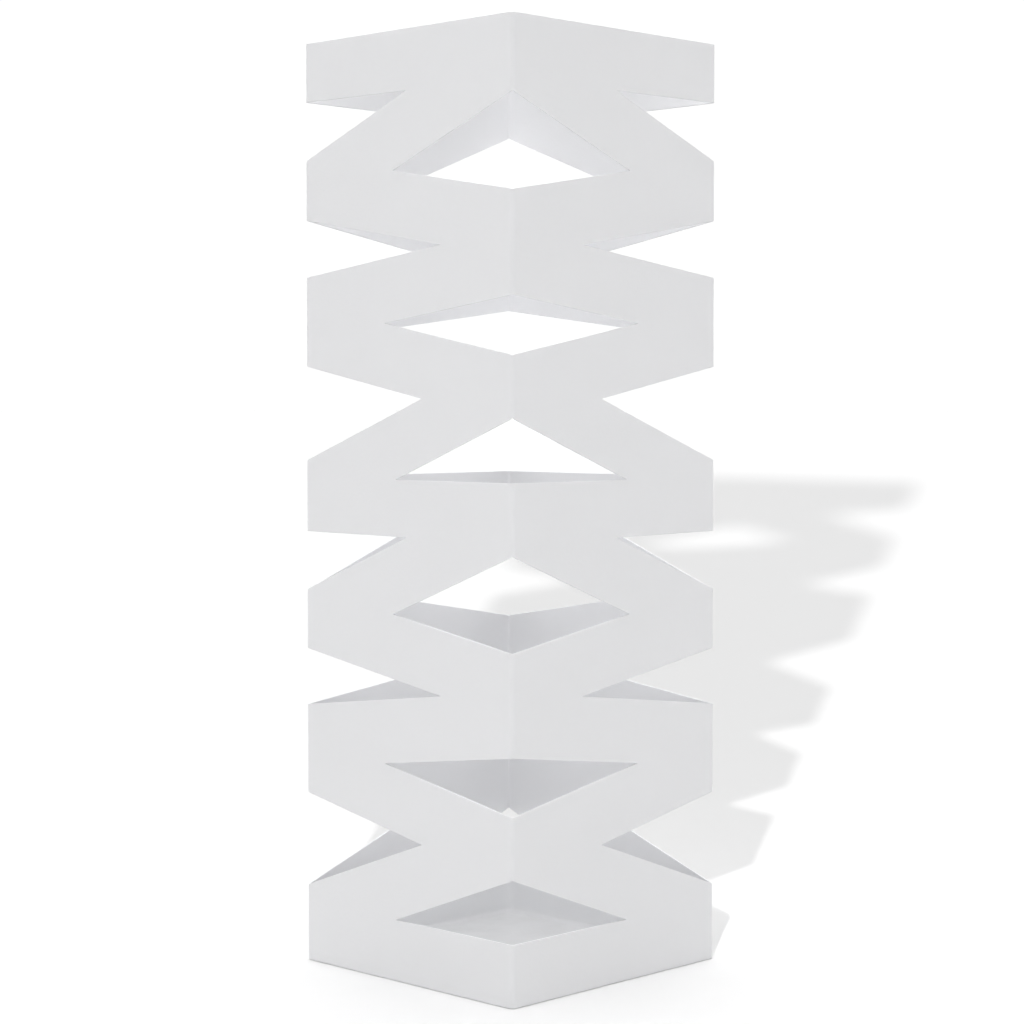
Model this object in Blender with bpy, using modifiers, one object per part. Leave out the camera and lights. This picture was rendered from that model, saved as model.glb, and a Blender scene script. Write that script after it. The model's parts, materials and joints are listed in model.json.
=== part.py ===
"""Square umbrella stand: a tower of cut and folded sheet steel, with a drip tray that lifts out.

The stand is centred on the Z axis and rests on Z = 0. The tower is two sheets, each folded once.
The folds are the corner at +X -Y, called the front, and the corner at -X +Y, called the rear.
The sheets meet in a seam at the other two corners, left and right.
"""

import math

import bmesh
import bpy
from mathutils import Matrix, Vector

# Driving dimensions, in metres.
SIDE = 0.155
HEIGHT = 0.490
SHEET = 0.001
BEND_RADIUS = 0.0025
BEND_STEPS = 6  # flats in each half of a bend
CLEARANCE = 0.0003
SEAM_GAP = 0.0004

# The openings repeat once down the tower. Each straddles a corner and narrows to a point on both sides
# of it: (height of its upper edge at the corner, of its lower edge, reach of its point, point's height).
PERIOD = 0.2280
REPEATS = 2
FOLD_OPENINGS = (
    (0.4520, 0.4040, 0.0865, 0.4185),
    (0.3525, 0.3230, 0.0930, 0.3405),
    (0.2920, 0.2600, 0.0845, 0.2600),
)
SEAM_OPENINGS = (
    (0.4590, 0.4275, 0.0790, 0.4585),
    (0.3965, 0.3660, 0.1045, 0.3790),
    (0.3190, 0.2685, 0.0900, 0.3015),
)

FOOT_HEIGHT = 0.0015
FOOT_RADIUS = 0.009
FOOT_TAPER = 0.0004
FOOT_INSET = 0.018  # from the side of the stand to the pad's centre
FOOT_SEGMENTS = 32
GROUND_GAP = 0.0008  # from the floor to the tower's lower edge

FLANGE_HEIGHT = 0.010
FLANGE_BEND = 0.002
FLANGE_RELIEF = 0.008  # the square cut out of each corner, so that the edges can be folded up

TRAY_WALL = 0.0012
TRAY_TOP = 0.0270
TRAY_FOOT_SIDE = 0.1470
TRAY_RIM_SIDE = 0.1484
TRAY_LIP = 0.0015
TRAY_CORNER = 0.006
TRAY_FILLET = 0.004
TRAY_STEPS = 5

PLATE_BOTTOM = FOOT_HEIGHT + CLEARANCE
TRAY_BOTTOM = PLATE_BOTTOM + SHEET + CLEARANCE

WHITE_PAINT = (0.78, 0.78, 0.79, 1.0)
WHITE_PLASTIC = (0.76, 0.76, 0.77, 1.0)
DARK_RUBBER = (0.04, 0.04, 0.042, 1.0)
PAINT_ROUGHNESS = 0.45
PLASTIC_ROUGHNESS = 0.4
RUBBER_ROUGHNESS = 0.8

AUTO_SMOOTH = math.radians(35)
CUTTER_HALF_DEPTH = 5 * SHEET
SAME_POINT = 1e-6  # points closer than this are one
ON_LINE = 1e-7  # a point this near to a bend line is on it
AT_FLOOR = 1e-5  # an edge this near to the tray's underside belongs to it


def clear_scene():
    for obj in list(bpy.data.objects):
        bpy.data.objects.remove(obj, do_unlink=True)


def new_collection(name):
    collection = bpy.data.collections.new(name)
    bpy.context.scene.collection.children.link(collection)
    return collection


def new_material(name, colour, roughness):
    material = bpy.data.materials.new(name)
    material.use_nodes = True
    shader = material.node_tree.nodes["Principled BSDF"]
    shader.inputs["Base Color"].default_value = colour
    shader.inputs["Roughness"].default_value = roughness
    shader.inputs["Metallic"].default_value = 0.0
    return material


def new_object(name, mesh, collection, material=None):
    obj = bpy.data.objects.new(name, mesh)
    collection.objects.link(obj)
    if material:
        mesh.materials.clear()
        mesh.materials.append(material)
    return obj


def new_cutter(name, mesh, collection):
    cutter = new_object(name, mesh, collection)
    cutter.hide_render = True
    cutter.display_type = "WIRE"
    return cutter


def mesh_of(bm, name):
    mesh = bpy.data.meshes.new(name)
    bm.to_mesh(mesh)
    bm.free()
    return mesh


def evaluated_mesh(obj, name):
    """The object's mesh with its modifiers, as a mesh of its own."""
    bpy.context.view_layer.update()
    graph = bpy.context.evaluated_depsgraph_get()
    mesh = bpy.data.meshes.new_from_object(obj.evaluated_get(graph))
    mesh.name = name
    return mesh


def smooth(mesh):
    mesh.shade_smooth()
    mesh.set_sharp_from_angle(angle=AUTO_SMOOTH)


def subtract(obj, cutter):
    modifier = obj.modifiers.new("cut", "BOOLEAN")
    modifier.operation = "DIFFERENCE"
    modifier.solver = "EXACT"
    modifier.object = cutter


def box(bm, low, high):
    """A box between two corners."""
    made = bmesh.ops.create_cube(bm, size=1.0)["verts"]
    size = Vector(high) - Vector(low)
    bmesh.ops.scale(bm, vec=size, verts=made)
    bmesh.ops.translate(bm, vec=Vector(low) + size / 2, verts=made)


# The tower


def opening_outlines():
    """Each opening of one sheet while it lies flat, as (distance from the fold, height) points."""
    outlines = []
    for repeat in range(REPEATS):
        drop = repeat * PERIOD
        for corners, openings in (((0,), FOLD_OPENINGS), ((-SIDE, SIDE), SEAM_OPENINGS)):
            for corner in corners:
                for upper, lower, reach, tip in openings:
                    outlines.append(
                        (
                            (corner - reach, tip - drop),
                            (corner, lower - drop),
                            (corner + reach, tip - drop),
                            (corner, upper - drop),
                        )
                    )
    return outlines


def openings_cutter(collection):
    """Flat outlines of the openings, given thickness, standing upright in the XZ plane."""
    curve = bpy.data.curves.new("openings_outline", "CURVE")
    curve.dimensions = "2D"
    curve.fill_mode = "BOTH"
    curve.extrude = CUTTER_HALF_DEPTH
    for outline in opening_outlines():
        spline = curve.splines.new("POLY")
        spline.points.add(len(outline) - 1)
        for point, (x, y) in zip(spline.points, outline):
            point.co = (x, y, 0, 1)
        spline.use_cyclic_u = True
    drawn = bpy.data.objects.new("openings_outline", curve)
    drawn.rotation_euler.x = math.pi / 2
    collection.objects.link(drawn)

    mesh = evaluated_mesh(drawn, "openings_cutter")
    cutter = new_cutter("openings_cutter", mesh, collection)
    cutter.matrix_world = drawn.matrix_world
    bpy.data.objects.remove(drawn, do_unlink=True)
    bm = bmesh.new()
    bm.from_mesh(mesh)
    bmesh.ops.remove_doubles(bm, verts=bm.verts, dist=SAME_POINT)
    bmesh.ops.recalc_face_normals(bm, faces=bm.faces)
    bm.to_mesh(mesh)
    bm.free()
    return cutter


def bend_lines():
    """Distances from the fold at which a sheet changes direction."""
    lines = {0.0}
    for step in range(BEND_STEPS + 1):
        along = BEND_RADIUS * step / BEND_STEPS
        lines |= {along, -along}
        if step:
            lines |= {SIDE - along, along - SIDE}
    return sorted(lines)


def flat_sheet():
    """One sheet before it is cut, upright in the XZ plane, with its outer face at Y = 0."""
    # Each sheet stops short of the seam's middle by half of the gap. An arc of 45 degrees takes up a
    # flat length equal to its radius, so flat lengths near the seam are 4 / pi of those on the bend.
    half = SIDE - SEAM_GAP / 2 * 4 / math.pi
    bm = bmesh.new()
    box(bm, (-half, 0, GROUND_GAP), (half, SHEET, HEIGHT))
    for line in bend_lines():
        bmesh.ops.bisect_plane(
            bm,
            geom=bm.verts[:] + bm.edges[:] + bm.faces[:],
            dist=ON_LINE,
            plane_co=(line, 0, 0),
            plane_no=(1, 0, 0),
        )
    return mesh_of(bm, "flat_sheet")


def folded(along, depth):
    """Plan position of a point this far along the sheet from its fold, and this deep in the sheet."""
    half = SIDE / 2
    centre = half - BEND_RADIUS
    radius = BEND_RADIUS - depth
    distance = abs(along)
    if distance < BEND_RADIUS:
        turn = -math.pi / 4 * (1 - distance / BEND_RADIUS)
        x = centre + radius * math.cos(turn)
        y = -centre + radius * math.sin(turn)
    elif distance > SIDE - BEND_RADIUS:
        turn = math.pi / 4 * (1 - (SIDE - distance) / BEND_RADIUS)
        x = centre + radius * math.cos(turn)
        y = centre + radius * math.sin(turn)
    else:
        x = half - depth
        y = distance - half
    return (x, y) if along > 0 else (-y, -x)


def build_shells(collection, cutters):
    flat = new_object("flat_sheet", flat_sheet(), cutters)
    subtract(flat, openings_cutter(cutters))
    mesh = evaluated_mesh(flat, "front_shell")
    bpy.data.objects.remove(flat, do_unlink=True)
    for vertex in mesh.vertices:
        x, y = folded(vertex.co.x, vertex.co.y)
        vertex.co = (x, y, vertex.co.z)
    smooth(mesh)

    rear_mesh = mesh.copy()
    rear_mesh.name = "rear_shell"
    front_paint = new_material("front_shell_paint", WHITE_PAINT, PAINT_ROUGHNESS)
    rear_paint = new_material("rear_shell_paint", WHITE_PAINT, PAINT_ROUGHNESS)
    new_object("front_shell", mesh, collection, front_paint)
    rear = new_object("rear_shell", rear_mesh, collection, rear_paint)
    rear.rotation_euler.z = math.pi


# The base


def open_box(bottom_side, top_side, bottom, top):
    """Floor and four walls of an open-topped box, as a surface with no thickness."""
    bm = bmesh.new()
    bmesh.ops.create_cube(bm, size=1.0)
    lid = max(bm.faces, key=lambda face: face.calc_center_median().z)
    bmesh.ops.delete(bm, geom=[lid], context="FACES_ONLY")
    for vertex in bm.verts:
        at_top = vertex.co.z > 0
        side = top_side if at_top else bottom_side
        vertex.co.x *= side
        vertex.co.y *= side
        vertex.co.z = top if at_top else bottom
    return bm


def round_edges(bm, chosen, radius, steps):
    bmesh.ops.bevel(
        bm,
        geom=chosen,
        offset=radius,
        offset_type="OFFSET",
        segments=steps,
        profile=0.5,
        affect="EDGES",
        clamp_overlap=True,
    )


def upright(edge):
    a, b = edge.verts
    return abs(a.co.z - b.co.z) > abs(a.co.x - b.co.x) + abs(a.co.y - b.co.y)


def thicken(obj, thickness):
    """Gives a surface its thickness on the inner side."""
    modifier = obj.modifiers.new("sheet", "SOLIDIFY")
    modifier.thickness = thickness
    modifier.offset = -1.0
    modifier.use_even_offset = True


def build_base_plate(collection, cutters):
    side = SIDE - 2 * SHEET - 2 * CLEARANCE
    bm = open_box(side, side, PLATE_BOTTOM, PLATE_BOTTOM + SHEET + FLANGE_HEIGHT)
    around_floor = [edge for edge in bm.edges if not upright(edge) and not edge.is_boundary]
    round_edges(bm, around_floor, FLANGE_BEND, BEND_STEPS)
    mesh = mesh_of(bm, "base_plate")
    smooth(mesh)
    paint = new_material("base_plate_paint", WHITE_PAINT, PAINT_ROUGHNESS)
    plate = new_object("base_plate", mesh, collection, paint)
    thicken(plate, SHEET)

    bm = bmesh.new()
    outer = side / 2 + SHEET
    inner = side / 2 - FLANGE_RELIEF
    for x in (-1, 1):
        for y in (-1, 1):
            low = (min(x * inner, x * outer), min(y * inner, y * outer), 0)
            high = (max(x * inner, x * outer), max(y * inner, y * outer), 2 * FLANGE_HEIGHT)
            box(bm, low, high)
    subtract(plate, new_cutter("corner_reliefs", mesh_of(bm, "corner_reliefs"), cutters))


def build_drip_tray(collection):
    wall_top = TRAY_TOP - TRAY_WALL
    bm = open_box(TRAY_FOOT_SIDE, TRAY_RIM_SIDE, TRAY_BOTTOM, wall_top)
    round_edges(bm, [edge for edge in bm.edges if upright(edge)], TRAY_CORNER, TRAY_STEPS)
    around_floor = [
        edge
        for edge in bm.edges
        if not edge.is_boundary and max(vertex.co.z for vertex in edge.verts) < TRAY_BOTTOM + AT_FLOOR
    ]
    round_edges(bm, around_floor, TRAY_FILLET, TRAY_STEPS)
    rim = [edge for edge in bm.edges if edge.is_boundary]
    grown = bmesh.ops.extrude_edge_only(bm, edges=rim)["geom"]
    outer = [item for item in grown if isinstance(item, bmesh.types.BMVert)]
    growth = 1 + 2 * TRAY_LIP / TRAY_RIM_SIDE
    bmesh.ops.scale(bm, vec=(growth, growth, 1), verts=outer)
    bmesh.ops.recalc_face_normals(bm, faces=bm.faces)
    floor = min(bm.faces, key=lambda face: face.calc_center_median().z)
    if floor.normal.z > 0:
        bmesh.ops.reverse_faces(bm, faces=bm.faces)
    mesh = mesh_of(bm, "drip_tray")
    smooth(mesh)
    plastic = new_material("drip_tray_plastic", WHITE_PLASTIC, PLASTIC_ROUGHNESS)
    tray = new_object("drip_tray", mesh, collection, plastic)
    thicken(tray, TRAY_WALL)


def build_foot_pads(collection):
    reach = SIDE / 2 - FOOT_INSET
    places = {
        "front": (reach, -reach),
        "left": (-reach, -reach),
        "right": (reach, reach),
        "rear": (-reach, reach),
    }
    for place, (x, y) in places.items():
        bm = bmesh.new()
        bmesh.ops.create_cone(
            bm,
            cap_ends=True,
            segments=FOOT_SEGMENTS,
            radius1=FOOT_RADIUS,
            radius2=FOOT_RADIUS - FOOT_TAPER,
            depth=FOOT_HEIGHT,
            matrix=Matrix.Translation((0, 0, FOOT_HEIGHT / 2)),
        )
        name = "foot_pad_" + place
        mesh = mesh_of(bm, name)
        smooth(mesh)
        rubber = new_material(name + "_rubber", DARK_RUBBER, RUBBER_ROUGHNESS)
        pad = new_object(name, mesh, collection, rubber)
        pad.location = (x, y, 0)


def main():
    clear_scene()
    stand = new_collection("umbrella_stand")
    cutters = new_collection("umbrella_stand_cutters")
    build_shells(stand, cutters)
    build_base_plate(stand, cutters)
    build_drip_tray(stand)
    build_foot_pads(stand)


main()
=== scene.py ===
import json
import math

import bmesh
import bpy
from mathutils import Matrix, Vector

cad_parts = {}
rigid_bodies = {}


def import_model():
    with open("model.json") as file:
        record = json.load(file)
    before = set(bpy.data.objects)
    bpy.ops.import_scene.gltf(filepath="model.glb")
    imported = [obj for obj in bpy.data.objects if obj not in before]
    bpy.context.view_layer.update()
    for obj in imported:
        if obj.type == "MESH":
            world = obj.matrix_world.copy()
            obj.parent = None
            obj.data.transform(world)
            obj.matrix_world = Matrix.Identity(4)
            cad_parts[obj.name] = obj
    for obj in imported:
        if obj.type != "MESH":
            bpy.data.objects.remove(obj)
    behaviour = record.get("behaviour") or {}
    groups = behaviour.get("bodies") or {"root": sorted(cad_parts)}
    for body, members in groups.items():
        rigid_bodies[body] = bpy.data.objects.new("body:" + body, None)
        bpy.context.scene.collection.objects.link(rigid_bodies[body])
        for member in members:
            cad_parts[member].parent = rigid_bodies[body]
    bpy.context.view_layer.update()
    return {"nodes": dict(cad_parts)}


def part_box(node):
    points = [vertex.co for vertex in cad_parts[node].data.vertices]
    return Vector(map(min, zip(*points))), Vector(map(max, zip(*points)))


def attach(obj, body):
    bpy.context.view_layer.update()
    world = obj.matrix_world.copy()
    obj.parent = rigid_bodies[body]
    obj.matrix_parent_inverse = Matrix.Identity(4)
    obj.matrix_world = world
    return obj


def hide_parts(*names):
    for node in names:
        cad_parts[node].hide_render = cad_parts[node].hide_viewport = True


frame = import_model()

MM = 0.001

# The camera, measured from the middle of the stand's foot. Its lens is in millimetres.
CAMERA_AZIMUTH = math.radians(44.5)
CAMERA_DISTANCE = 1.2930
CAMERA_HEIGHT = 0.3001
CAMERA_TILT = math.radians(2.0)
CAMERA_LENS = 84.983
CAMERA_SHIFT_X = 0.0015
CAMERA_SHIFT_Y = -0.0253
SENSOR_WIDTH = 36.0
NEAREST_SEEN = 0.05
FARTHEST_SEEN = 200.0

# The folded sheets, as the CAD makes them.
SIDE = 155.0 * MM
HEIGHT = 490.0 * MM
SHEET = 1.0 * MM
BEND_RADIUS = 2.5 * MM
GROUND_GAP = 0.2 * MM  # the paint runs down past the steel and nearly meets the floor
SEAM_GAP = 0.4 * MM
PERIOD = 228.0 * MM
REPEATS = 2
FOLD_OPENINGS = (
    (0.4520, 0.4040, 0.0865, 0.4185),
    (0.3525, 0.3230, 0.0930, 0.3405),
    (0.2920, 0.2600, 0.0845, 0.2600),
)
SEAM_OPENINGS = (
    (0.4590, 0.4275, 0.0790, 0.4585),
    (0.3965, 0.3660, 0.1045, 0.3790),
    (0.3190, 0.2685, 0.0900, 0.3015),
)

EDGE_LAYER = "cut_edge"  # 1 along the middle of a cut edge and 0 on the sheet's faces
EDGE_RADIUS = 0.2 * MM  # powder coat rounds every cut edge
EDGE_STEPS = 2
TIP_RADIUS = 0.1 * MM  # half of the laser's cut
TIP_STEP = math.radians(25)
BEND_TURN = math.pi / 4  # from a side to the middle of a bend
BEND_STEPS = 8
NO_TURN = 0.001  # radians
FLAT = 0.999  # a face whose normal has a larger share than this across the sheet is on its flat
MERGE_DISTANCE = 0.0005 * MM
CUT_TOLERANCE = 0.0001 * MM

# The CAD's own nodes.
WELD_DISTANCE = 0.001 * MM
SOFT_EDGE_STEPS = 3
SHARP_ANGLE = math.radians(40)

# Colours.
PAINT_LIGHT = (0.917, 0.918, 0.932)
PAINT_DARK = (0.905, 0.907, 0.921)
# The next colour is painted shade, laid on cut edges where they face down.
PAINT_EDGE_SHADE = (0.60, 0.60, 0.61)
PLASTIC_LIGHT = (0.905, 0.909, 0.922)
PLASTIC_DARK = (0.890, 0.894, 0.908)
# The next colour is painted shade, laid on plastic that faces up.
PLASTIC_TOP_SHADE = (0.560, 0.562, 0.570)
RUBBER_DARK = (0.035, 0.035, 0.037)
RUBBER_LIGHT = (0.055, 0.055, 0.056)
FLOOR_LIGHT = (0.93, 0.93, 0.93)
FLOOR_DARK = (0.92, 0.92, 0.92)

# How fine each pattern is, in cycles per metre.
PAINT_CLOUDS = 14.0
PAINT_PEEL = 650.0
PAINT_GRAIN = 2600.0
PAINT_PATCHES = 90.0
PLASTIC_CLOUDS = 20.0
PLASTIC_GRAIN = 2200.0
PLASTIC_RUBBING_AND_SHADE = 60.0
RUBBER_CLOUDS = 120.0
RUBBER_GRAIN = 2600.0
FLOOR_FIBRES = 60.0

# Roughness, from the smoothest grain to the roughest, and how far a rubbed patch moves it.
PAINT_SHEEN = (0.32, 0.42)
PAINT_SHEEN_DRIFT = 0.04
PLASTIC_SHEEN = (0.42, 0.54)
PLASTIC_SHEEN_DRIFT = 0.06
RUBBER_SHEEN = (0.7, 0.9)
FLOOR_ROUGHNESS = 0.95
FLOOR_SPECULAR = 0.1

# Bumps, as (strength, height).
PEEL_BUMP = (0.8, 0.06 * MM)
PAINT_GRAIN_BUMP = (0.35, 0.02 * MM)
PLASTIC_BUMP = (0.5, 0.03 * MM)
RUBBER_BUMP = (0.5, 0.05 * MM)

# Painted shade on a cut edge, in patches: it grows from where the edge faces a little up to where it faces
# down.
EDGE_SHADE_ABOVE = 0.2
EDGE_SHADE_BELOW = -0.6
EDGE_SHADE_LEAST = 0.1
EDGE_SHADE_PATCHES = (0.6, 1.0)

# How much painted shade lies on plastic that faces up, patch by patch.
TOP_SHADE_PATCHES = (0.80, 1.10)


def clear_defaults():
    for obj in list(bpy.context.scene.objects):
        if obj.type in ("LIGHT", "CAMERA"):
            bpy.data.objects.remove(obj, do_unlink=True)


# Materials


class Nodes:
    """Short ways to add and link the nodes of one material."""

    def __init__(self, name):
        self.material = bpy.data.materials.new(name)
        self.material.use_nodes = True
        self.tree = self.material.node_tree
        self.shader = self.tree.nodes["Principled BSDF"]
        coordinates = self.add("ShaderNodeTexCoord")
        self.place = coordinates.outputs["Object"]
        self.facing = coordinates.outputs["Normal"]

    def add(self, kind, **values):
        node = self.tree.nodes.new(kind)
        for key, value in values.items():
            setattr(node, key, value)
        return node

    def link(self, source, target):
        self.tree.links.new(source, target)

    def noise(self, scale, detail=2.0, roughness=0.5):
        node = self.add("ShaderNodeTexNoise")
        node.inputs["Scale"].default_value = scale
        node.inputs["Detail"].default_value = detail
        node.inputs["Roughness"].default_value = roughness
        self.link(self.place, node.inputs["Vector"])
        return node.outputs["Fac"]

    def spread(self, source, low, high, start=0.0, end=1.0):
        """A value between start and end spread over another range."""
        node = self.add("ShaderNodeMapRange")
        node.inputs["From Min"].default_value = start
        node.inputs["From Max"].default_value = end
        node.inputs["To Min"].default_value = low
        node.inputs["To Max"].default_value = high
        self.link(source, node.inputs["Value"])
        return node.outputs["Result"]

    def mix(self, factor, a, b):
        node = self.add("ShaderNodeMix", data_type="RGBA")
        self.link(factor, node.inputs[0])
        for value, socket in ((a, node.inputs[6]), (b, node.inputs[7])):
            if isinstance(value, bpy.types.NodeSocket):
                self.link(value, socket)
            else:
                socket.default_value = (*value, 1.0)
        return node.outputs[2]

    def math(self, operation, one, two, clamp=False):
        node = self.add("ShaderNodeMath", operation=operation, use_clamp=clamp)
        self.link(one, node.inputs[0])
        self.link(two, node.inputs[1])
        return node.outputs[0]

    def upward(self):
        """How far up the surface faces: 1 for up, 0 for sideways and -1 for down."""
        parts = self.add("ShaderNodeSeparateXYZ")
        self.link(self.facing, parts.inputs[0])
        return parts.outputs["Z"]

    def sheen(self, grain, smooth_to_rough, patches, drift):
        """A roughness that follows the grain and drifts from patch to patch."""
        fine = self.spread(grain, *smooth_to_rough)
        coarse = self.spread(patches, -drift, drift)
        self.link(self.math("ADD", fine, coarse), self.shader.inputs["Roughness"])

    def bump(self, layers):
        """Bumps on one another, each (height, strength, distance)."""
        normal = None
        for height, strength, distance in layers:
            node = self.add("ShaderNodeBump")
            node.inputs["Strength"].default_value = strength
            node.inputs["Distance"].default_value = distance
            self.link(height, node.inputs["Height"])
            if normal:
                self.link(normal, node.inputs["Normal"])
            normal = node.outputs["Normal"]
        self.link(normal, self.shader.inputs["Normal"])


def powder_coat(name, light, dark, edge_shade_colour):
    """White powder coat: an orange peel, faint clouding, an uneven sheen, and painted shade, in patches, on
    cut edges that face down.
    """
    nodes = Nodes(name)
    clouds = nodes.noise(PAINT_CLOUDS, detail=3.0)
    peel = nodes.noise(PAINT_PEEL, detail=1.0)
    grain = nodes.noise(PAINT_GRAIN, detail=2.0, roughness=0.7)
    patches = nodes.noise(PAINT_PATCHES, detail=3.0, roughness=0.6)
    coat = nodes.mix(clouds, light, dark)
    edge = nodes.add("ShaderNodeAttribute", attribute_name=EDGE_LAYER).outputs["Fac"]
    # Painted shade: cut edges that face down are greyed, patch by patch.
    facing_down_shade = nodes.spread(nodes.upward(), EDGE_SHADE_LEAST, 1.0, start=EDGE_SHADE_ABOVE, end=EDGE_SHADE_BELOW)
    edge_shade_mask = nodes.math("MULTIPLY", edge, facing_down_shade)
    edge_shade_mask = nodes.math("MULTIPLY", edge_shade_mask, nodes.spread(patches, *EDGE_SHADE_PATCHES))
    nodes.link(nodes.mix(edge_shade_mask, coat, edge_shade_colour), nodes.shader.inputs["Base Color"])
    nodes.sheen(grain, PAINT_SHEEN, patches, PAINT_SHEEN_DRIFT)
    nodes.bump([(peel, *PEEL_BUMP), (grain, *PAINT_GRAIN_BUMP)])
    return nodes.material


def moulded_plastic(name, light, dark, top_shade_colour):
    """Moulded plastic with a fine matt grain, and painted shade, in patches, where it faces up."""
    nodes = Nodes(name)
    clouds = nodes.noise(PLASTIC_CLOUDS, detail=3.0)
    grain = nodes.noise(PLASTIC_GRAIN, detail=3.0, roughness=0.6)
    rubbed_and_shade_patches = nodes.noise(PLASTIC_RUBBING_AND_SHADE, detail=4.0, roughness=0.6)
    # Painted shade: plastic that faces up is darkened, patch by patch; the same patches also vary the
    # roughness.
    top_shade_mask = nodes.math("MULTIPLY", nodes.upward(), nodes.spread(rubbed_and_shade_patches, *TOP_SHADE_PATCHES), clamp=True)
    plastic = nodes.mix(clouds, light, dark)
    nodes.link(nodes.mix(top_shade_mask, plastic, top_shade_colour), nodes.shader.inputs["Base Color"])
    nodes.sheen(grain, PLASTIC_SHEEN, rubbed_and_shade_patches, PLASTIC_SHEEN_DRIFT)
    nodes.bump([(grain, *PLASTIC_BUMP)])
    return nodes.material


def pad_rubber(name):
    nodes = Nodes(name)
    clouds = nodes.noise(RUBBER_CLOUDS, detail=3.0)
    grain = nodes.noise(RUBBER_GRAIN, detail=3.0, roughness=0.7)
    nodes.link(nodes.mix(clouds, RUBBER_DARK, RUBBER_LIGHT), nodes.shader.inputs["Base Color"])
    nodes.link(nodes.spread(grain, *RUBBER_SHEEN), nodes.shader.inputs["Roughness"])
    nodes.bump([(grain, *RUBBER_BUMP)])
    return nodes.material


def floor_paper(name):
    nodes = Nodes(name)
    fibres = nodes.noise(FLOOR_FIBRES, detail=4.0)
    nodes.link(nodes.mix(fibres, FLOOR_LIGHT, FLOOR_DARK), nodes.shader.inputs["Base Color"])
    nodes.shader.inputs["Roughness"].default_value = FLOOR_ROUGHNESS
    nodes.shader.inputs["Specular IOR Level"].default_value = FLOOR_SPECULAR
    return nodes.material


# The tower's two folded sheets


def repeated(openings):
    """Every opening of one corner from the top down, as (upper, lower, reach, tip's height)."""
    rows = []
    for repeat in range(REPEATS):
        drop = repeat * PERIOD
        for upper, lower, reach, tip in openings:
            rows.append((upper - drop, lower - drop, reach, tip - drop))
    return rows


def rounded(points, radius):
    """A closed outline with each corner turned on a small arc."""
    made = []
    for i, point in enumerate(points):
        here = Vector(point)
        back = (Vector(points[i - 1]) - here).normalized()
        ahead = (Vector(points[(i + 1) % len(points)]) - here).normalized()
        inside = back.angle(ahead)
        turn = math.pi - inside
        run = radius / math.tan(inside / 2)
        middle = here + (back + ahead).normalized() * radius / math.sin(inside / 2)
        start = here + back * run - middle
        side = 1 if back.x * ahead.y - back.y * ahead.x < 0 else -1
        steps = max(2, math.ceil(turn / TIP_STEP))
        for step in range(steps + 1):
            angle = side * turn * step / steps
            c, d = math.cos(angle), math.sin(angle)
            made.append((middle.x + start.x * c - start.y * d, middle.y + start.x * d + start.y * c))
    return made


def sheet_outlines():
    """The flat sheet's edge and its holes, as (distance from the fold, height) loops."""
    half = SIDE - SEAM_GAP / 2 / BEND_TURN
    right = []
    for upper, lower, reach, tip in reversed(repeated(SEAM_OPENINGS)):
        part = (SIDE - half) / reach
        right.append((half, lower + (tip - lower) * part))
        right.append((SIDE - reach, tip))
        right.append((half, upper + (tip - upper) * part))
    right = [(half, GROUND_GAP)] + right + [(half, HEIGHT)]
    left = [(-x, z) for x, z in reversed(right)]
    holes = []
    for upper, lower, reach, tip in repeated(FOLD_OPENINGS):
        holes.append([(-reach, tip), (0, lower), (reach, tip), (0, upper)])
    return [right + left] + holes


def flat_sheet():
    """The flat sheet with all its cut edges rounded, in the XY plane, outer face up.

    It is drawn in millimetres, because Blender fills an outline to 0.03 of a unit.
    """
    curve = bpy.data.curves.new("flat_sheet", "CURVE")
    curve.dimensions = "2D"
    curve.fill_mode = "BOTH"
    curve.extrude = (SHEET / 2 - EDGE_RADIUS) / MM
    curve.bevel_depth = EDGE_RADIUS / MM
    curve.bevel_resolution = EDGE_STEPS
    curve.offset = -EDGE_RADIUS / MM
    for outline in sheet_outlines():
        points = rounded(outline, TIP_RADIUS)
        spline = curve.splines.new("POLY")
        spline.points.add(len(points) - 1)
        for point, (x, y) in zip(spline.points, points):
            point.co = (x / MM, y / MM, 0, 1)
        spline.use_cyclic_u = True
    drawn = bpy.data.objects.new("flat_sheet", curve)
    bpy.context.scene.collection.objects.link(drawn)
    bpy.context.view_layer.update()
    graph = bpy.context.evaluated_depsgraph_get()
    mesh = bpy.data.meshes.new_from_object(drawn.evaluated_get(graph))
    bpy.data.objects.remove(drawn, do_unlink=True)

    bm = bmesh.new()
    bm.from_mesh(mesh)
    bpy.data.meshes.remove(mesh)
    bmesh.ops.scale(bm, vec=(MM, MM, MM), verts=bm.verts)
    bmesh.ops.remove_doubles(bm, verts=bm.verts, dist=MERGE_DISTANCE)
    bmesh.ops.dissolve_degenerate(bm, edges=bm.edges, dist=MERGE_DISTANCE)
    bmesh.ops.recalc_face_normals(bm, faces=bm.faces)
    for step in range(-BEND_STEPS, BEND_STEPS + 1):
        along = BEND_RADIUS * step / BEND_STEPS
        lines = [along]
        if step > 0:
            lines += [SIDE - along, along - SIDE]
        for line in lines:
            bmesh.ops.bisect_plane(
                bm,
                geom=bm.verts[:] + bm.edges[:] + bm.faces[:],
                dist=CUT_TOLERANCE,
                plane_co=(line, 0, 0),
                plane_no=(1, 0, 0),
            )
    return bm


def flat_normals(bm):
    """A normal for each vertex: square to the sheet wherever it touches a face of it."""
    normals = []
    for vertex in bm.verts:
        flat = [face for face in vertex.link_faces if abs(face.normal.z) > FLAT]
        if flat:
            normals.append(Vector((0, 0, 1 if vertex.co.z > 0 else -1)))
        else:
            total = Vector()
            for face in vertex.link_faces:
                total += face.normal * face.calc_area()
            normals.append(total.normalized())
    return normals


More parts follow.
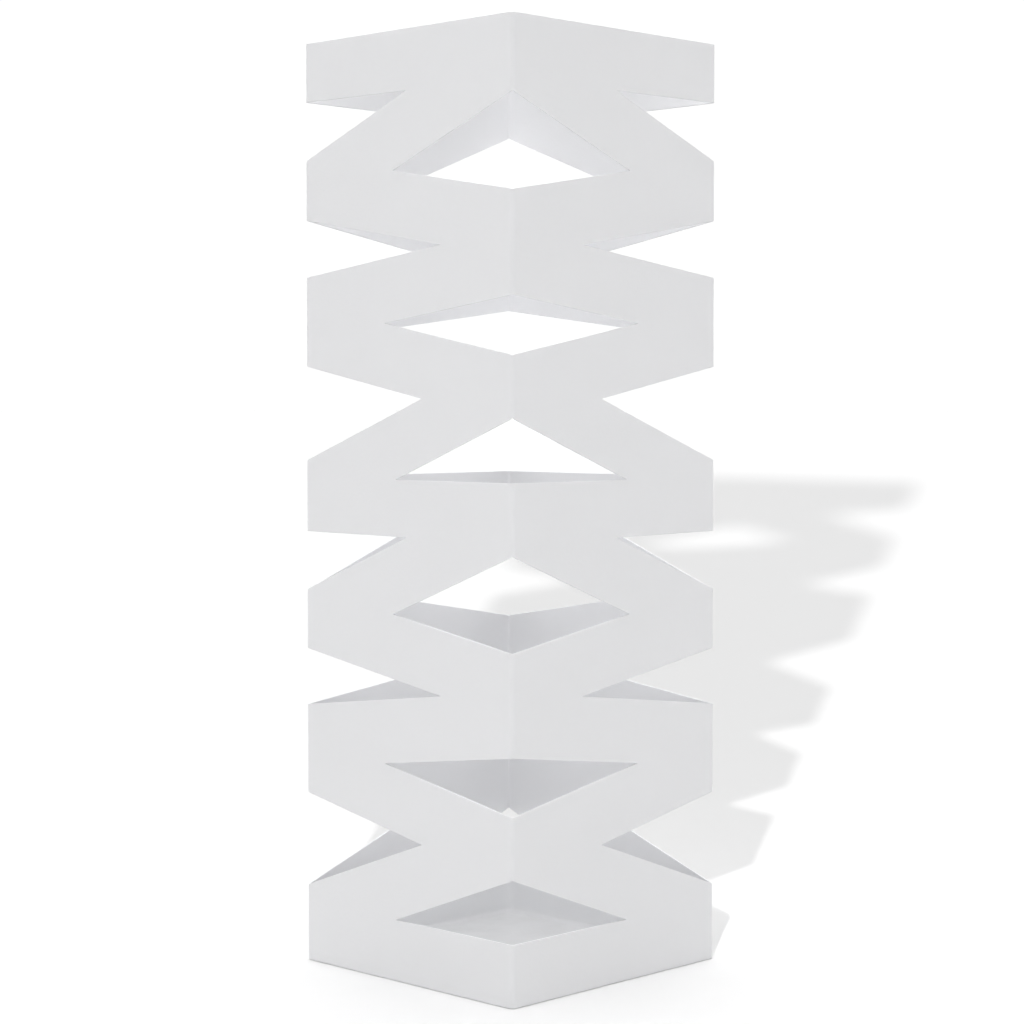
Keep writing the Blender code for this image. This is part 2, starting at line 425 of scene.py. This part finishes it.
def fold_turn(along):
    """The way that the sheet faces at a distance from its fold, as an angle from its own side's way."""
    distance = abs(along)
    if distance < BEND_RADIUS:
        return -BEND_TURN * (1 - distance / BEND_RADIUS)
    if distance > SIDE - BEND_RADIUS:
        return BEND_TURN * (1 - (SIDE - distance) / BEND_RADIUS)
    return 0.0


def fold_point(along, depth):
    half = SIDE / 2
    centre = half - BEND_RADIUS
    radius = BEND_RADIUS - depth
    turn = fold_turn(along)
    if turn < 0:
        x, y = centre + radius * math.cos(turn), -centre + radius * math.sin(turn)
    elif turn > 0:
        x, y = centre + radius * math.cos(turn), centre + radius * math.sin(turn)
    else:
        x, y = half - depth, abs(along) - half
    return (x, y) if along > 0 else (-y, -x)


def fold_normal(along, normal):
    turn = fold_turn(along)
    across = normal.x if along > 0 else -normal.x
    x = -across * math.sin(turn) + normal.z * math.cos(turn)
    y = across * math.cos(turn) + normal.z * math.sin(turn)
    if along <= 0:
        x, y = -y, -x
    return (x, y, normal.y)


def build_shell(name, node, turned, material):
    """One folded sheet, which stands for its CAD node."""
    bm = flat_sheet()
    normals = flat_normals(bm)
    places = [vertex.co.copy() for vertex in bm.verts]
    for face in bm.faces:
        bent = any(abs(fold_turn(vertex.co.x)) > NO_TURN for vertex in face.verts)
        face.smooth = bent or abs(face.normal.z) < FLAT
    sign = -1 if turned else 1
    made = []
    for vertex, place, normal in zip(bm.verts, places, normals):
        x, y = fold_point(place.x, SHEET / 2 - place.z)
        vertex.co = (sign * x, sign * y, place.y)
        x, y, z = fold_normal(place.x, normal)
        made.append((sign * x, sign * y, z))
    mesh = bpy.data.meshes.new(name)
    bm.to_mesh(mesh)
    bm.free()
    layer = mesh.attributes.new(EDGE_LAYER, "FLOAT", "POINT")
    for value, normal in zip(layer.data, normals):
        value.value = 1.0 - abs(normal.z)
    mesh.normals_split_custom_set_from_vertices(made)
    mesh.materials.append(material)
    shell = bpy.data.objects.new(name, mesh)
    bpy.context.scene.collection.objects.link(shell)
    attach(shell, "stand")
    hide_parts(node)
    return shell


# The welds


WELD_OUTER = BEND_RADIUS + 0.03 * MM
WELD_INNER = BEND_RADIUS - SHEET - 0.25 * MM
WELD_HALF_WIDTH = 0.8 * MM
WELD_RIPPLE = 0.03 * MM
WELD_WANDER = 0.012 * MM
WELD_PITCH = 1.3 * MM
WELD_STEP = 0.325 * MM
WELD_SIDES = 20
WELD_FULLNESS = 0.6
WANDER_SLOW = 4.1 * MM  # the run of the wander's slower wave, over 2 pi
WANDER_FAST = 2.3 * MM  # and of its faster one
WELD_END = 0.3 * MM
WELD_END_FACE = 0.02 * MM  # how far into its round end a bead is cut off square
WELD_INSET = 0.06 * MM

TACK_LENGTH = 14.0 * MM
TACK_RADIUS = 0.85 * MM
TACK_RIPPLE = 0.07 * MM
TACK_FLATNESS = 0.8
TACK_INSET = 0.35 * MM
TACK_DROP = 0.1 * MM
TACK_PLACES = (-42.0 * MM, 42.0 * MM)


def weld_spans():
    """The heights between which the seams are closed."""
    edges = [HEIGHT]
    for upper, lower, _, _ in repeated(SEAM_OPENINGS):
        edges += [upper, lower]
    edges.append(GROUND_GAP)
    return [(edges[i + 1] + WELD_INSET, edges[i] - WELD_INSET) for i in range(0, len(edges), 2)]


def end_size(along, length, run):
    """How full a bead is at a distance along it: round at both ends, and full in between."""
    share = min(1.0, (min(along, length - along) + WELD_END_FACE) / run)
    return math.sqrt(1 - (1 - share) ** 2)


def loft(bm, rings):
    """A closed body through rings of points."""
    made = [[bm.verts.new(point) for point in ring] for ring in rings]
    for one, two in zip(made, made[1:]):
        for corner in range(len(one)):
            after = (corner + 1) % len(one)
            bm.faces.new((one[corner], one[after], two[after], two[corner]))
    bm.faces.new(made[0])
    bm.faces.new(made[-1])


def add_bead(bm, name, material):
    """Makes the welds drawn in a bmesh a painted piece of the stand."""
    bmesh.ops.recalc_face_normals(bm, faces=bm.faces)
    mesh = bpy.data.meshes.new(name)
    bm.to_mesh(mesh)
    bm.free()
    mesh.shade_smooth()
    mesh.materials.append(material)
    bead = bpy.data.objects.new(name, mesh)
    bpy.context.scene.collection.objects.link(bead)
    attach(bead, "stand")


def build_seam_weld(name, turned, material):
    """The weld along one seam, ground nearly flush outside and left full inside."""
    bm = bmesh.new()
    middle = (WELD_OUTER + WELD_INNER) / 2
    half_depth = (WELD_OUTER - WELD_INNER) / 2
    centre = SIDE / 2 - BEND_RADIUS
    sign = -1 if turned else 1
    for low, high in weld_spans():
        count = round((high - low) / WELD_STEP)
        rings = []
        for step in range(count + 1):
            z = low + (high - low) * step / count
            size = end_size(z - low, high - low, WELD_END)
            ripple = WELD_RIPPLE * math.sin(2 * math.pi * z / WELD_PITCH)
            wander = WELD_WANDER * math.sin(z / WANDER_SLOW) * math.sin(z / WANDER_FAST)
            ring = []
            for corner in range(WELD_SIDES):
                angle = 2 * math.pi * corner / WELD_SIDES
                c, d = math.cos(angle), math.sin(angle)
                deep = half_depth + (ripple if c < 0 else wander)
                out = middle + deep * math.copysign(abs(c) ** WELD_FULLNESS, c) * size
                width = WELD_HALF_WIDTH * math.copysign(abs(d) ** WELD_FULLNESS, d) * size
                turn = BEND_TURN + width / BEND_RADIUS
                x, y = centre + out * math.cos(turn), centre + out * math.sin(turn)
                ring.append((sign * x, sign * y, z))
            rings.append(ring)
        loft(bm, rings)
    add_bead(bm, name, material)


def build_tack_welds(material):
    """Short beads that join the top of the base plate's upturned edges to the sheets."""
    low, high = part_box("base_plate")
    bm = bmesh.new()
    wall = high[0] - TACK_INSET
    count = round(TACK_LENGTH / WELD_STEP)
    for c, d in ((1, 0), (0, 1), (-1, 0), (0, -1)):
        for place in TACK_PLACES:
            rings = []
            for step in range(count + 1):
                run = TACK_LENGTH * step / count
                size = end_size(run, TACK_LENGTH, 2 * TACK_RADIUS)
                radius = (TACK_RADIUS + TACK_RIPPLE * math.sin(2 * math.pi * run / WELD_PITCH)) * size
                along = place + run - TACK_LENGTH / 2
                ring = []
                for corner in range(WELD_SIDES):
                    angle = 2 * math.pi * corner / WELD_SIDES
                    out = wall + radius * math.cos(angle) * TACK_FLATNESS
                    z = high[2] - TACK_DROP + radius * math.sin(angle)
                    ring.append((c * out - d * along, d * out + c * along, z))
                rings.append(ring)
            loft(bm, rings)
    add_bead(bm, "base_tack_welds", material)


def build_tower(material):
    build_shell("front_sheet", "front_shell", False, material)
    build_shell("rear_sheet", "rear_shell", True, material)
    build_seam_weld("right_seam_weld", False, material)
    build_seam_weld("left_seam_weld", True, material)


# The frame's own nodes


def finish_node(name, material, radius):
    """Gives a CAD node its material and softens its sharp edges."""
    node = frame["nodes"][name]
    node.data.materials.clear()
    node.data.materials.append(material)
    weld = node.modifiers.new("weld", "WELD")
    weld.merge_threshold = WELD_DISTANCE
    bevel = node.modifiers.new("soft_edges", "BEVEL")
    bevel.width = radius
    bevel.segments = SOFT_EDGE_STEPS
    bevel.limit_method = "ANGLE"
    bevel.angle_limit = SHARP_ANGLE
    bevel.use_clamp_overlap = False
    bevel.harden_normals = True
    node.data.shade_smooth()
    return node


def finish_nodes():
    paint = powder_coat("white_powder_coat", PAINT_LIGHT, PAINT_DARK, PAINT_EDGE_SHADE)
    plastic = moulded_plastic("white_plastic", PLASTIC_LIGHT, PLASTIC_DARK, PLASTIC_TOP_SHADE)
    rubber = pad_rubber("dark_rubber")
    build_tower(paint)
    finish_node("base_plate", paint, EDGE_RADIUS)
    build_tack_welds(paint)
    finish_node("drip_tray", plastic, EDGE_RADIUS)
    for name in frame["nodes"]:
        if name.startswith("foot_pad"):
            finish_node(name, rubber, EDGE_RADIUS)


# The studio


FLOOR_SIZE = 120.0


def build_floor():
    bpy.ops.mesh.primitive_plane_add(size=FLOOR_SIZE, location=(0, 0, 0))
    floor = bpy.context.object
    floor.name = "studio_floor"
    floor.data.materials.append(floor_paper("floor_paper"))
    return floor


# The studio's brightness: a white horizon all round, a pale wall behind the stand, a dim one on its left,
# shade on the other two sides, and a bright ceiling. The heights are in degrees above the horizon.
FRONT_HORIZON = 0.86
SIDE_HORIZON = 0.92
BACK_HORIZON = 1.04
BACK_WALL = 0.83
LEFT_WALL = 0.20
SHADE = 0.03
CEILING = 6.9
HORIZON_TOP = 10
WALL_FOOT = 25
WALL_TOP = 45
CEILING_EDGE = 65
OVERHEAD = 90

# Each side's turn from the camera's side in degrees, with its horizon and its wall.
STUDIO_SIDES = (
    (0, FRONT_HORIZON, SHADE),
    (90, SIDE_HORIZON, SHADE),
    (180, BACK_HORIZON, BACK_WALL),
    (270, SIDE_HORIZON, LEFT_WALL),
)


def studio_share(tree, heading, turn):
    """A level heading's share of one side's brightness: all at its middle, none a quarter turn off."""
    facing = tree.nodes.new("ShaderNodeVectorMath")
    facing.operation = "DOT_PRODUCT"
    facing.inputs[1].default_value = (math.sin(turn), -math.cos(turn), 0)
    tree.links.new(heading, facing.inputs[0])
    above = tree.nodes.new("ShaderNodeMath")
    above.operation = "MAXIMUM"
    above.inputs[1].default_value = 0.0
    tree.links.new(facing.outputs["Value"], above.inputs[0])
    share = tree.nodes.new("ShaderNodeMath")
    share.operation = "POWER"
    share.inputs[1].default_value = 2.0
    tree.links.new(above.outputs[0], share.inputs[0])
    return share.outputs[0]


def studio_brightness(tree, rise, horizon, wall):
    """One side's brightness from the horizon to the ceiling, over the sine of the height."""
    ramp = tree.nodes.new("ShaderNodeFloatCurve")
    curve = ramp.mapping.curves[0]
    ramp.mapping.use_clip = False
    curve.points[0].location = (0.0, horizon)
    curve.points[1].location = (math.sin(math.radians(OVERHEAD)), CEILING)
    heights = ((HORIZON_TOP, horizon), (WALL_FOOT, wall), (WALL_TOP, wall), (CEILING_EDGE, SHADE))
    for height, brightness in heights:
        curve.points.new(math.sin(math.radians(height)), brightness)
    for point in curve.points:
        point.handle_type = "VECTOR"
    ramp.mapping.update()
    tree.links.new(rise, ramp.inputs["Value"])
    return ramp.outputs[0]


def build_world():
    """A white studio, bright overhead, with a white horizon all round."""
    world = bpy.data.worlds.new("studio")
    bpy.context.scene.world = world
    world.use_nodes = True
    tree = world.node_tree
    link = tree.links.new
    direction = tree.nodes.new("ShaderNodeTexCoord").outputs["Generated"]
    parts = tree.nodes.new("ShaderNodeSeparateXYZ")
    link(direction, parts.inputs[0])
    level = tree.nodes.new("ShaderNodeVectorMath")
    level.operation = "MULTIPLY"
    level.inputs[1].default_value = (1, 1, 0)
    link(direction, level.inputs[0])
    heading = tree.nodes.new("ShaderNodeVectorMath")
    heading.operation = "NORMALIZE"
    link(level.outputs[0], heading.inputs[0])
    total = None
    for degrees, horizon, wall in STUDIO_SIDES:
        turn = CAMERA_AZIMUTH + math.radians(degrees)
        lit = tree.nodes.new("ShaderNodeMath")
        lit.operation = "MULTIPLY"
        link(studio_share(tree, heading.outputs[0], turn), lit.inputs[0])
        link(studio_brightness(tree, parts.outputs["Z"], horizon, wall), lit.inputs[1])
        if total is None:
            total = lit.outputs[0]
        else:
            plus = tree.nodes.new("ShaderNodeMath")
            plus.operation = "ADD"
            link(total, plus.inputs[0])
            link(lit.outputs[0], plus.inputs[1])
            total = plus.outputs[0]
    link(total, tree.nodes["Background"].inputs["Color"])
    tree.nodes["Background"].inputs["Strength"].default_value = 1.0


# The lamp near the camera, which throws the stand's shadow back over the floor.
KEY_AZIMUTH = math.radians(38.3)
KEY_DISTANCE = 1.446
KEY_HEIGHT = 0.581
KEY_SIZE = 0.028
KEY_POWER = 3.3
KEY_LOWEST = 0.008  # the sine of the shallowest angle that it washes the floor at
KEY_FALL = -3.0  # light from a point falls on a floor as the cube of that sine, and this undoes it

# The lamp beyond the camera, which shows up the fold.
FRONT_AZIMUTH = math.radians(42)
FRONT_DISTANCE = 2.0
FRONT_HEIGHT = 0.22
FRONT_SIZE = 0.40
FRONT_POWER = 2.6

# The lamp above the open top, a little to the left of it, which lights the inside.
TOP_LEFT = 0.015
TOP_HEIGHT = 1.02
TOP_SIZE = 0.25
TOP_POWER = 3.7


def build_lamp(name, kind, place, size, power, lit):
    """A soft lamp, flagged so that its own light falls on the listed objects only."""
    light = bpy.data.lights.new(name, kind)
    light.energy = power
    if kind == "AREA":
        light.shape = "DISK"
        light.size = size
    else:
        light.shadow_soft_size = size / 2
    lamp = bpy.data.objects.new(name, light)
    bpy.context.scene.collection.objects.link(lamp)
    lamp.location = place
    lamp.visible_camera = False
    reached = bpy.data.collections.new(name + "_reaches")
    for obj in lit:
        reached.objects.link(obj)
    lamp.light_linking.receiver_collection = reached
    return lamp


def wash_evenly(lamp):
    """Makes a lamp a floor washer: the shallower the ray, the stronger, so that the floor is evenly lit."""
    light = lamp.data
    light.use_nodes = True
    tree = light.node_tree
    direction = tree.nodes.new("ShaderNodeNewGeometry").outputs["Normal"]
    parts = tree.nodes.new("ShaderNodeSeparateXYZ")
    tree.links.new(direction, parts.inputs[0])
    steps = (("ABSOLUTE", None), ("MAXIMUM", KEY_LOWEST), ("POWER", KEY_FALL))
    value = parts.outputs["Z"]
    for operation, amount in steps:
        node = tree.nodes.new("ShaderNodeMath")
        node.operation = operation
        if amount is not None:
            node.inputs[1].default_value = amount
        tree.links.new(value, node.inputs[0])
        value = node.outputs[0]
    tree.links.new(value, tree.nodes["Emission"].inputs["Strength"])


def level_way(azimuth):
    """The level direction at an azimuth, which is measured from the front, -Y, towards +X."""
    return Vector((math.sin(azimuth), -math.cos(azimuth), 0))


def build_lamps(floor):
    stand = [obj for obj in bpy.context.scene.objects if obj.type == "MESH" and obj != floor]
    place = level_way(KEY_AZIMUTH) * KEY_DISTANCE + Vector((0, 0, KEY_HEIGHT))
    wash_evenly(build_lamp("key", "POINT", place, KEY_SIZE, KEY_POWER, [floor]))
    left = Vector((-math.cos(CAMERA_AZIMUTH), -math.sin(CAMERA_AZIMUTH), 0))
    place = left * TOP_LEFT + Vector((0, 0, TOP_HEIGHT))
    build_lamp("top", "AREA", place, TOP_SIZE, TOP_POWER, stand)
    side = level_way(FRONT_AZIMUTH)
    place = side * FRONT_DISTANCE + Vector((0, 0, FRONT_HEIGHT))
    front = build_lamp("front", "AREA", place, FRONT_SIZE, FRONT_POWER, stand)
    front.rotation_mode = "QUATERNION"
    front.rotation_quaternion = side.to_track_quat("Z", "Y")


def build_camera():
    data = bpy.data.cameras.new("camera")
    data.sensor_width = SENSOR_WIDTH
    data.lens = CAMERA_LENS
    data.shift_x = CAMERA_SHIFT_X
    data.shift_y = CAMERA_SHIFT_Y
    data.clip_start = NEAREST_SEEN
    data.clip_end = FARTHEST_SEEN
    camera = bpy.data.objects.new("camera", data)
    bpy.context.scene.collection.objects.link(camera)
    out = level_way(CAMERA_AZIMUTH)
    camera.location = out * CAMERA_DISTANCE + Vector((0, 0, CAMERA_HEIGHT))
    look = -out * math.cos(CAMERA_TILT) + Vector((0, 0, -math.sin(CAMERA_TILT)))
    camera.rotation_mode = "QUATERNION"
    camera.rotation_quaternion = look.to_track_quat("-Z", "Y")
    bpy.context.scene.camera = camera


def build_studio():
    clear_defaults()
    build_world()
    build_lamps(build_floor())
    build_camera()
    bpy.context.scene.view_settings.view_transform = "Standard"
    bpy.context.scene.view_settings.look = "None"


finish_nodes()
build_studio()
